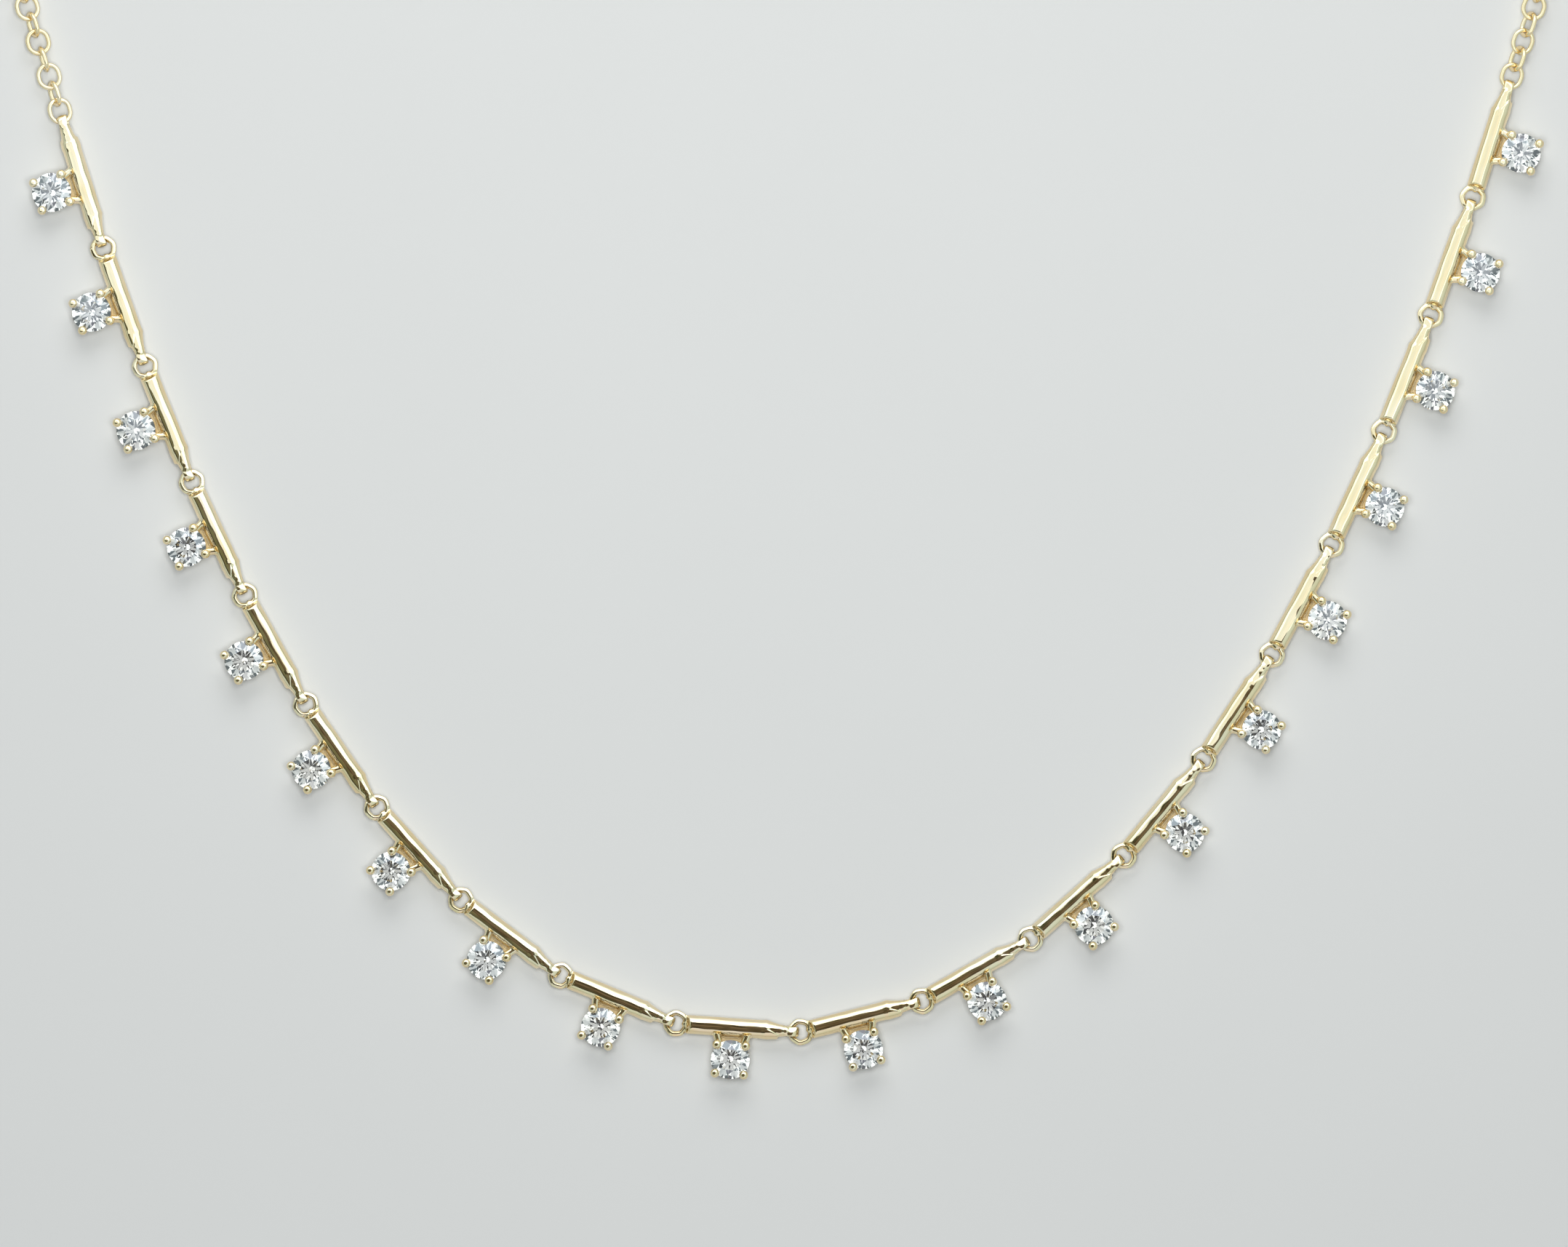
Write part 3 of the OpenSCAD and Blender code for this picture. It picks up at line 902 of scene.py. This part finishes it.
def brilliant_mesh(stone):
    """A round blank cut by the facets' planes, so that the girdle is round and scalloped."""
    bm = bmesh.new()
    bmesh.ops.create_cone(
        bm, cap_ends=True, segments=GIRDLE_SIDES, radius1=stone.diameter / 2, radius2=stone.diameter / 2,
        depth=2 * stone.diameter, matrix=Matrix.Translation((0, 0, GIRDLE_Z)),
    )
    for point, normal in facet_planes(stone):
        everything = bm.verts[:] + bm.edges[:] + bm.faces[:]
        cut = bmesh.ops.bisect_plane(
            bm, geom=everything, dist=1e-9, plane_co=point, plane_no=normal, clear_outer=True
        )
        edges = [e for e in cut["geom_cut"] if isinstance(e, bmesh.types.BMEdge)]
        if edges:
            bmesh.ops.contextual_create(bm, geom=edges)
    bmesh.ops.recalc_face_normals(bm, faces=bm.faces)
    mesh = bpy.data.meshes.new("brilliant")
    bm.to_mesh(mesh)
    bm.free()
    return mesh


class NECKLACE_OT_stations(bpy.types.Operator):
    """Make the twenty bar stations, each one soldered casting"""

    bl_idname = "necklace.stations"
    bl_label = "Stations"

    def execute(self, context):
        settings = context.scene.necklace
        sizes = settings.station
        gold = gold_material("station_gold", settings.finish, *STATION_POLISH)
        reach = HEAD_OFFSET + PRONG_TIP_R + sizes.bead_radius
        low = (END_LOOP_X - HOOK_R - HOOK_WALL, -reach, 0)
        side, top = sizes.bar_width / 2 + sizes.ring_wire, PRONG_TIP_Z + sizes.bead_radius
        high = (HOOK_X + HOOK_R + HOOK_WALL, side, top)
        shape = partial(casting, sizes=sizes, stone=settings.stone)
        first, other = (
            skin("casting", partial(shape, end_loop=end_loop), low, high, sizes.detail, STATION_KEEP)
            for end_loop in (True, False)
        )
        for i in range(1, STATION_COUNT + 1):
            mesh = (first if i == 1 else other).copy()
            mesh.transform(station_place(i))
            name = numbered("station", i)
            hand_over(new_piece(f"cast_{name}", mesh, gold), "gold", name)
        return {"FINISHED"}


class NECKLACE_OT_stones(bpy.types.Operator):
    """Cut the twenty round brilliants and set them in their heads"""

    bl_idname = "necklace.stones"
    bl_label = "Stones"

    def execute(self, context):
        stone = context.scene.necklace.stone
        chance = random.Random(stone.seed)
        brilliant = brilliant_mesh(stone)
        glass = stone_material(stone)
        centre = Matrix.Translation((HEAD_X, -HEAD_OFFSET, 0))
        for i in range(1, STATION_COUNT + 1):
            mesh = brilliant.copy()
            turn = Matrix.Rotation(chance.uniform(0, math.pi / 4), 4, "Z")
            mesh.transform(station_place(i) @ centre @ turn)
            name = numbered("stone", i)
            hand_over(new_piece(f"cut_{name}", mesh, glass), "stone", name)
        return {"FINISHED"}


def link_tree():
    """The Geometry Nodes tree that threads links along a line."""
    tree = bpy.data.node_groups.new("Cable chain", "GeometryNodeTree")
    n = Nodes(tree)
    value, number, geometry = "NodeSocketFloat", "NodeSocketInt", "NodeSocketGeometry"
    interface(
        tree,
        [("Line", geometry, None), ("Count", number, 10), ("Pitch", value, LINK_PITCH),
         *((key, value, 0.0) for key in LINK_SETTINGS), ("Seed", number, 0),
         ("Metal", "NodeSocketMaterial", None)],
        [("Chain", geometry)],
    )
    given = n.add("NodeGroupInput").outputs

    def swing(chance, share):
        return n.times(n.minus(chance, 0.5), n.times(given["Wander"], share))

    # A point in the middle of each link, and the line's direction there
    index = n.add("GeometryNodeInputIndex")
    line = n.add("GeometryNodeMeshToCurve", {"Mesh": given["Line"]})
    distance = n.times(n.plus(index, 0.5), given["Pitch"])
    on_line = n.add("GeometryNodeSampleCurve", {"Curves": line, "Length": distance}, mode="LENGTH")
    points = n.add("GeometryNodePoints", {"Count": given["Count"], "Position": on_line.outputs["Position"]})
    tangent = {"Vector": on_line.outputs["Tangent"]}
    facing = n.add("FunctionNodeAlignRotationToVector", tangent, axis="X", pivot_axis="Z")

    # Each link's roll: face on and edge on in turn, with a slow drift and a small jump
    odd = n.math("MODULO", index, 2.0)
    base = n.plus(given["Face roll"], n.times(odd, n.minus(given["Edge roll"], given["Face roll"])))
    seed_place = n.times(given["Seed"], SEED_STEP)
    drift_place = n.plus(n.times(index, DRIFT_STEP), seed_place)
    drift = {"W": drift_place, "Scale": 1.0, "Detail": 1.0}
    drift = n.add("ShaderNodeTexNoise", drift, noise_dimensions="1D")
    jump = n.add("FunctionNodeRandomValue", {"ID": index, "Seed": given["Seed"]}, data_type="FLOAT")
    wander = n.plus(swing(drift.outputs[0], DRIFT_SHARE), swing(jump.outputs[1], JUMP_SHARE))
    roll = {"Axis": (1, 0, 0), "Angle": n.plus(base, wander)}
    turn = {"Rotation": facing, "Rotate By": n.add("FunctionNodeAxisAngleToRotation", roll)}
    turn = n.add("FunctionNodeRotateRotation", turn, rotation_space="LOCAL")

    # One link: a circle of wire, drawn apart to its length
    bend = n.times(n.minus(given["Link width"], given["Wire"]), 0.5)
    circle = {"Resolution": LINK_CORNERS, "Radius": bend}
    circle = n.add("GeometryNodeCurvePrimitiveCircle", circle, mode="RADIUS")
    spot = n.add("ShaderNodeSeparateXYZ", {0: n.add("GeometryNodeInputPosition")})
    straight = n.times(n.minus(given["Link length"], given["Link width"]), 0.5)
    shift = n.times(n.math("SIGN", spot.outputs[0]), straight)
    shift = n.add("ShaderNodeCombineXYZ", {0: shift})
    oval = n.add("GeometryNodeSetPosition", {"Geometry": circle, "Offset": shift})
    wire = {"Resolution": WIRE_CORNERS, "Radius": n.times(given["Wire"], 0.5)}
    wire = n.add("GeometryNodeCurvePrimitiveCircle", wire, mode="RADIUS")
    link = n.add("GeometryNodeCurveToMesh", {"Curve": oval, "Profile Curve": wire})
    link = n.add("GeometryNodeSetShadeSmooth", {"Geometry": link})

    chain = n.add("GeometryNodeInstanceOnPoints", {"Points": points, "Instance": link, "Rotation": turn})
    chain = n.add("GeometryNodeRealizeInstances", {"Geometry": chain})
    chain = n.add("GeometryNodeSetMaterial", {"Geometry": chain, "Material": given["Metal"]})
    n.add("NodeGroupOutput", {"Chain": chain})
    return tree


def chain_piece(name, run, side, tree, values):
    """One side's chain, made by the tree along the chain's line and turned into a plain mesh."""
    mesh = bpy.data.meshes.new(name)
    points = [run.point(side, run.length * k / LINE_STEPS) for k in range(LINE_STEPS + 1)]
    mesh.from_pydata(points, [(k, k + 1) for k in range(LINE_STEPS)], [])
    piece = new_piece(name, mesh)
    modifier = piece.modifiers.new("Cable chain", "NODES")
    modifier.node_group = tree
    sockets = {s.name: s.identifier for s in tree.interface.items_tree if s.in_out == "INPUT"}
    for key, value in values.items():
        modifier[sockets[key]] = value
    graph = bpy.context.evaluated_depsgraph_get()
    solid = bpy.data.meshes.new_from_object(piece.evaluated_get(graph))
    piece.modifiers.clear()
    piece.data = solid
    return piece


class NECKLACE_OT_chains(bpy.types.Operator):
    """Thread both sides of the cable chain, link by link"""

    bl_idname = "necklace.chains"
    bl_label = "Chains"

    def execute(self, context):
        settings = context.scene.necklace
        chain = settings.chain
        gold = gold_material("chain_gold", settings.finish, *CHAIN_POLISH)
        run = ChainRun()
        tree = link_tree()
        for side, name in ((LEFT, "chain_left"), (RIGHT, "chain_right")):
            values = {key: getattr(chain, key.lower().replace(" ", "_")) for key in LINK_SETTINGS}
            values.update({"Count": LINK_COUNT, "Pitch": LINK_PITCH, "Metal": gold})
            values["Seed"] = chain.seed + side
            piece = chain_piece(name, run, side, tree, values)
            hand_over(piece, "gold", f"{name}_front", f"{name}_back")
        return {"FINISHED"}


def clasp_place():
    """Puts the clasp's own frame where the left chain ends."""
    run = ChainRun()
    end = run.point(LEFT, run.length)
    return Matrix.Translation((end.x, end.y, CLASP_Z))


class NECKLACE_OT_clasp(bpy.types.Operator):
    """Make the plain ring clasp with its soldered eye"""

    bl_idname = "necklace.clasp"
    bl_label = "Clasp"

    def execute(self, context):
        settings = context.scene.necklace
        sizes = settings.clasp
        gold = gold_material("clasp_gold", settings.finish, *CLASP_POLISH)
        wide = CLASP_R + sizes.clasp_wire
        low = (EYE_X - EYE_R - sizes.eye_wire, -wide, -sizes.clasp_wire)
        high = (CLASP_X + wide, wide, sizes.clasp_wire)
        mesh = skin("clasp_ring", partial(clasp_shape, sizes=sizes), low, high, sizes.detail, CLASP_KEEP)
        mesh.transform(clasp_place())
        hand_over(new_piece("ring_clasp", mesh, gold), "gold", "clasp")
        return {"FINISHED"}


class NECKLACE_OT_end_ring(bpy.types.Operator):
    """Make the end ring that hangs in the clasp"""

    bl_idname = "necklace.end_ring"
    bl_label = "End ring"

    def execute(self, context):
        settings = context.scene.necklace
        wire = settings.clasp.end_ring_wire
        gold = gold_material("end_ring_gold", settings.finish, *CLASP_POLISH)
        wide = END_RING_R + wire
        shape = partial(hoop, centre=(0, 0, 0), radius=END_RING_R, wire=wire)
        low, high = (-wide, -wide, -wire), (wide, wide, wire)
        mesh = skin("end_ring_wire", shape, low, high, settings.clasp.detail, END_RING_KEEP)
        turn = Matrix.Rotation(END_RING_ROLL, 4, "X")
        mesh.transform(clasp_place() @ Matrix.Translation((END_RING_X, 0, 0)) @ turn)
        hand_over(new_piece("clasp_end_ring", mesh, gold), "gold", "end_ring")
        return {"FINISHED"}


def floor_material(colour):
    """A pale matt surface with a faint mottle."""
    material, n = new_material("pale_floor")
    place = n.place()
    mottle = n.ramp(n.noise(place, FLOOR_SCALE, detail=3.0), *FLOOR_RANGE)
    shade = n.blend(mottle, rgba(colour), FLOOR_MOTTLE)
    matt = {"Base Color": shade, "Roughness": 0.85, "Specular IOR Level": 0.2}
    matt = n.add("ShaderNodeBsdfPrincipled", matt)
    n.add("ShaderNodeOutputMaterial", {"Surface": matt})
    return material


def studio_world(strength):
    """A soft room: pale all round, with a wide bright window beyond the clasp and a dark oval patch
    overhead. The stones look into a brighter room with sharper lights and darks."""
    world = bpy.data.worlds.new("Studio")
    bpy.context.scene.world = world
    world.use_nodes = True
    world.cycles_visibility.diffuse = False
    n = Nodes(world.node_tree)
    place = n.add("ShaderNodeTexCoord").outputs["Generated"]
    across, _, height = n.add("ShaderNodeSeparateXYZ", {0: place}).outputs
    aside = n.ramp(n.math("ABSOLUTE", across), *SIDE_RANGE)
    room = n.blend(n.ramp(height, *ROOM_RANGE), *ROOM_COLOURS)
    window = n.vector_math("DOT_PRODUCT", place, (0.0, math.sin(WINDOW_TILT), math.cos(WINDOW_TILT)))
    room = n.blend(n.ramp(window, *WINDOW_RANGE), room, WINDOW_COLOUR)
    room = n.blend(aside, room, n.tinted(room, SIDE_ROOM_TINT))
    long_way = (math.cos(PATCH_TURN), math.sin(PATCH_TURN), 0.0)
    short_way = (-math.sin(PATCH_TURN), math.cos(PATCH_TURN), 0.0)
    squares = []
    for way, half in ((long_way, PATCH_LONG), (short_way, PATCH_SHORT)):
        off = n.minus(n.vector_math("DOT_PRODUCT", place, way), way[0] * PATCH_X)
        squares.append(n.math("POWER", n.math("ABSOLUTE", n.math("DIVIDE", off, half)), 2.0))
    off = n.plus(*squares)
    patch = n.times(n.ramp(off, *PATCH_EDGE), n.ramp(height, *PATCH_HEIGHT))
    mottle = n.ramp(n.noise(place, PATCH_SCALE, detail=1.0), *PATCH_RANGE)
    dark = n.blend(mottle, *PATCH_COLOURS)
    dark = n.blend(aside, dark, n.tinted(dark, SIDE_PATCH_TINT))
    dark = n.blend(n.ramp(off, *RIM_RANGE), dark, RIM_COLOUR)
    room = n.blend(patch, room, dark)
    low_down = n.times(n.minus(SPARKLE_LEVEL, height), SPARKLE_LOW)
    lights = n.plus(n.noise(place, SPARKLE_SCALE, detail=1.0), low_down)
    lights = n.ramp(lights, *SPARKLE_RANGE)
    lights = n.times(lights, n.ramp(height, *OVERHEAD_RANGE))
    sparkle = n.blend(lights, *SPARKLE_COLOURS)
    room = n.blend(n.add("ShaderNodeLightPath").outputs["Is Transmission Ray"], room, sparkle)
    back = n.add("ShaderNodeBackground", {"Color": room, "Strength": strength})
    n.add("ShaderNodeOutputWorld", {"Surface": back})


def area_light(name, power, target, place, width_depth, colour):
    """A flat lamp, which the camera doesn't see."""
    light = bpy.data.lights.new(name, "AREA")
    light.shape = "RECTANGLE"
    light.size, light.size_y = width_depth
    light.energy = power
    light.color = colour
    lamp = new_piece(name, light)
    lamp.location = place
    lamp.rotation_euler = (Vector(target) - Vector(place)).to_track_quat("-Z", "Y").to_euler()
    lamp.visible_camera = False
    return lamp


class NECKLACE_OT_stage(bpy.types.Operator):
    """Set up the pale floor, the soft light and the camera straight above the stations"""

    bl_idname = "necklace.stage"
    bl_label = "Stage"

    def execute(self, context):
        finish = context.scene.necklace.finish
        mesh = bpy.data.meshes.new("floor")
        corners = [(x * FLOOR_HALF, y * FLOOR_HALF, 0) for x, y in ((-1, -1), (1, -1), (1, 1), (-1, 1))]
        mesh.from_pydata(corners, [], [(0, 1, 2, 3)])
        new_piece("floor", mesh, floor_material(finish.floor))
        studio_world(finish.room)
        middle = (*VIEW_CENTRE, 0)
        key = area_light("key", finish.key, middle, *KEY_LAMP)
        fill = area_light("fill", finish.fill, middle, *FILL_LAMP)
        sheet = area_light("sheet", finish.sheet, SHEET_TARGET, *SHEET_LAMP)
        sheet.rotation_euler.z += SHEET_TURN
        sheet.visible_diffuse = False
        key.visible_glossy = fill.visible_glossy = False
        for lamp in (key, fill, sheet):
            lamp.visible_transmission = False
        camera = new_piece("camera", bpy.data.cameras.new("camera"))
        camera.data.sensor_width = SENSOR_WIDTH
        camera.data.lens = SENSOR_WIDTH * VIEW_HEIGHT / VIEW_WIDTH
        camera.data.clip_start = VIEW_CLIP
        camera.location = (*VIEW_CENTRE, VIEW_HEIGHT + AXIS_Z)
        context.scene.camera = camera
        context.scene.view_settings.view_transform = "Standard"
        return {"FINISHED"}


PIECES = (
    NECKLACE_OT_stations, NECKLACE_OT_stones, NECKLACE_OT_chains, NECKLACE_OT_clasp, NECKLACE_OT_end_ring,
    NECKLACE_OT_stage,
)


class VIEW3D_PT_necklace(bpy.types.Panel):
    """The necklace's settings and the buttons that make its pieces"""

    bl_idname = "VIEW3D_PT_necklace"
    bl_label = "Station Necklace"
    bl_space_type = "VIEW_3D"
    bl_region_type = "UI"
    bl_category = "Necklace"

    def draw(self, context):
        settings = context.scene.necklace
        for title in ("station", "stone", "chain", "clasp", "finish"):
            box = self.layout.box()
            box.label(text=title.capitalize())
            group = getattr(settings, title)
            for name in type(group).__annotations__:
                box.prop(group, name)
        for operator in PIECES:
            self.layout.operator(operator.bl_idname)


CLASSES = (
    StationSettings, StoneSettings, ChainSettings, ClaspSettings, FinishSettings, NecklaceSettings,
    *PIECES, VIEW3D_PT_necklace,
)


def register():
    """Adds the settings, the buttons and the panel."""
    for c in CLASSES:
        bpy.utils.register_class(c)
    bpy.types.Scene.necklace = PointerProperty(type=NecklaceSettings)


def unregister():
    """Takes them out again."""
    del bpy.types.Scene.necklace
    for c in reversed(CLASSES):
        bpy.utils.unregister_class(c)


def main():
    """Makes the whole necklace and its stage."""
    register()
    bpy.ops.necklace.stations()
    bpy.ops.necklace.stones()
    bpy.ops.necklace.chains()
    bpy.ops.necklace.clasp()
    bpy.ops.necklace.end_ring()
    bpy.ops.necklace.stage()


if __name__ == "__main__":
    main()
